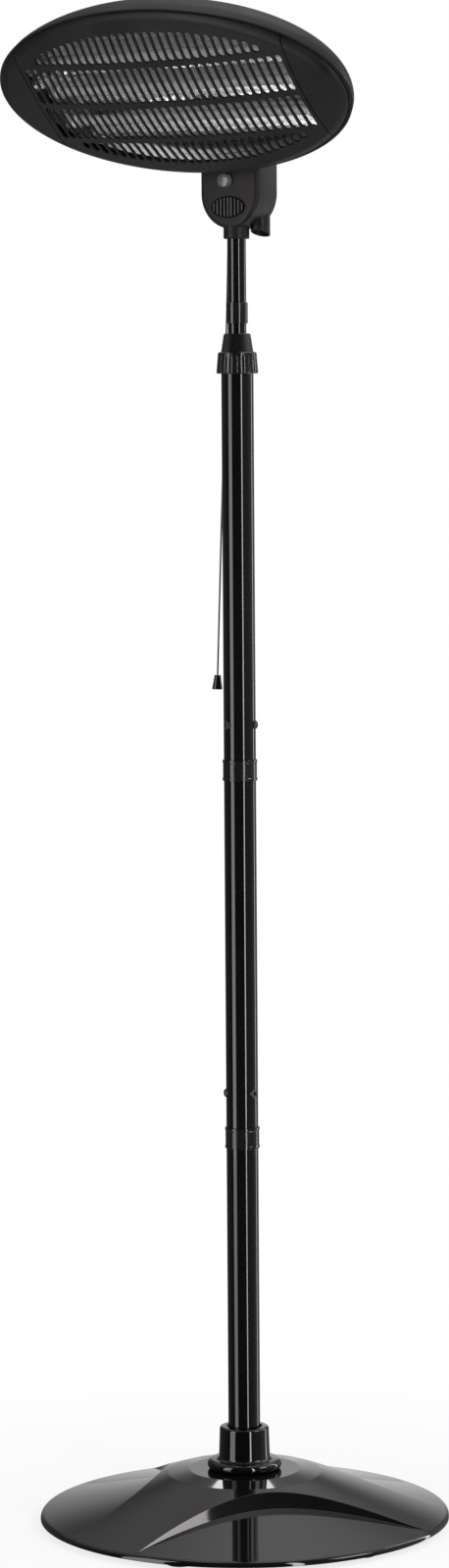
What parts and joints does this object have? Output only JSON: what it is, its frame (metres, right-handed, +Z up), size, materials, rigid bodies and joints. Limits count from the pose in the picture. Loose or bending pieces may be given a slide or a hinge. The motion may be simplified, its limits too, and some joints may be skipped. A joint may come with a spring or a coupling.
{
  "type": "infrared patio heater",
  "caption": "Electric patio heater: domed weighted base, telescopic mast with twist clamp, pull-cord switch in the neck and a tilting oval head with slotted front over quartz tubes.",
  "frame": {"origin": "mast axis where it meets the floor, under the middle of the round base", "axes": "+Z up along the mast, the head faces -Y, +X to the right of someone who looks at the face"},
  "size_m": [0.49, 0.49, 1.7954],
  "materials": {
    "gloss_black": "glossy black moulded plastic",
    "mast_black": "glossy black powder coat",
    "head_black": "satin black heat-proof paint",
    "satin_black": "satin black moulded plastic",
    "cast_weight": "rough grey casting",
    "foot_rubber": "matt black rubber",
    "screw_black": "black oxide",
    "screw_steel": "zinc plated",
    "lens_grey": "smoky grey translucent",
    "reflector_bright": "polished",
    "quartz": "clear quartz",
    "coil_wire": "resistance wire",
    "cap_ceramic": "white steatite",
    "holder_steel": "bright zinc sheet",
    "cord_dark": "braided dark cord",
    "terminal_white": "white nylon"
  },
  "bodies": {
    "base": {"base_cover": "gloss_black", "base_weight": "cast_weight", "base_plate": "mast_black", "base_feet": "foot_rubber", "plate_screws": "screw_steel", "mast_socket": "gloss_black", "socket_screws": "screw_steel", "lower_tube": "mast_black", "lower_joint": "gloss_black", "middle_tube": "mast_black", "upper_joint": "gloss_black", "upper_tube": "mast_black", "joint_screws": "screw_black", "clamp_body": "satin_black"},
    "clamp_ring": {"clamp_nut": "satin_black"},
    "slider": {"guide_bush": "satin_black"},
    "post": {"inner_tube": "mast_black", "stop_sleeve": "satin_black", "neck_socket": "satin_black", "neck_front_cover": "satin_black", "neck_rear_cover": "satin_black", "cover_screws": "screw_black", "indicator_lens": "lens_grey", "badge_plate": "gloss_black", "cable_gland": "satin_black", "terminal_block": "terminal_white", "pull_switch": "satin_black", "cord_guide": "satin_black", "tilt_screws": "screw_black", "tilt_washers": "satin_black"},
    "pull": {"pull_cord": "cord_dark", "cord_knob": "satin_black", "switch_plunger": "terminal_white"},
    "head": {"rear_shell": "head_black", "front_panel": "head_black", "left_wing": "head_black", "right_wing": "head_black", "reflector": "reflector_bright", "quartz_tube_lower": "quartz", "quartz_tube_middle": "quartz", "quartz_tube_upper": "quartz", "heating_coils": "coil_wire", "ceramic_caps": "cap_ceramic", "left_tube_holder": "holder_steel", "right_tube_holder": "holder_steel", "tilt_bracket": "head_black", "bracket_screws": "screw_black"}
  },
  "joints": [
    {"name": "clamp_twist", "type": "hinge", "parent": "base", "child": "clamp_ring", "pos_m": [0, 0, 1.3832], "axis": [0, 0, 1], "range_deg": [0, 180]},
    {"name": "mast_height", "type": "slide", "parent": "base", "child": "slider", "axis": [0, 0, 1], "range_m": [-0.0114, 0.3]},
    {"name": "post_swivel", "type": "hinge", "parent": "slider", "child": "post", "pos_m": [0, 0, 1.042], "axis": [0, 0, 1], "range_deg": [-180, 180]},
    {"name": "head_tilt", "type": "hinge", "parent": "post", "child": "head", "pos_m": [0, 0.006, 1.6553], "axis": [1, 0, 0], "range_deg": [-45, 0]},
    {"name": "cord_pull", "type": "slide", "parent": "post", "child": "pull", "axis": [0, 0, -1], "range_m": [0, 0.012], "stiffness_N_per_m": 800, "springref_m": -0.003}
  ]
}
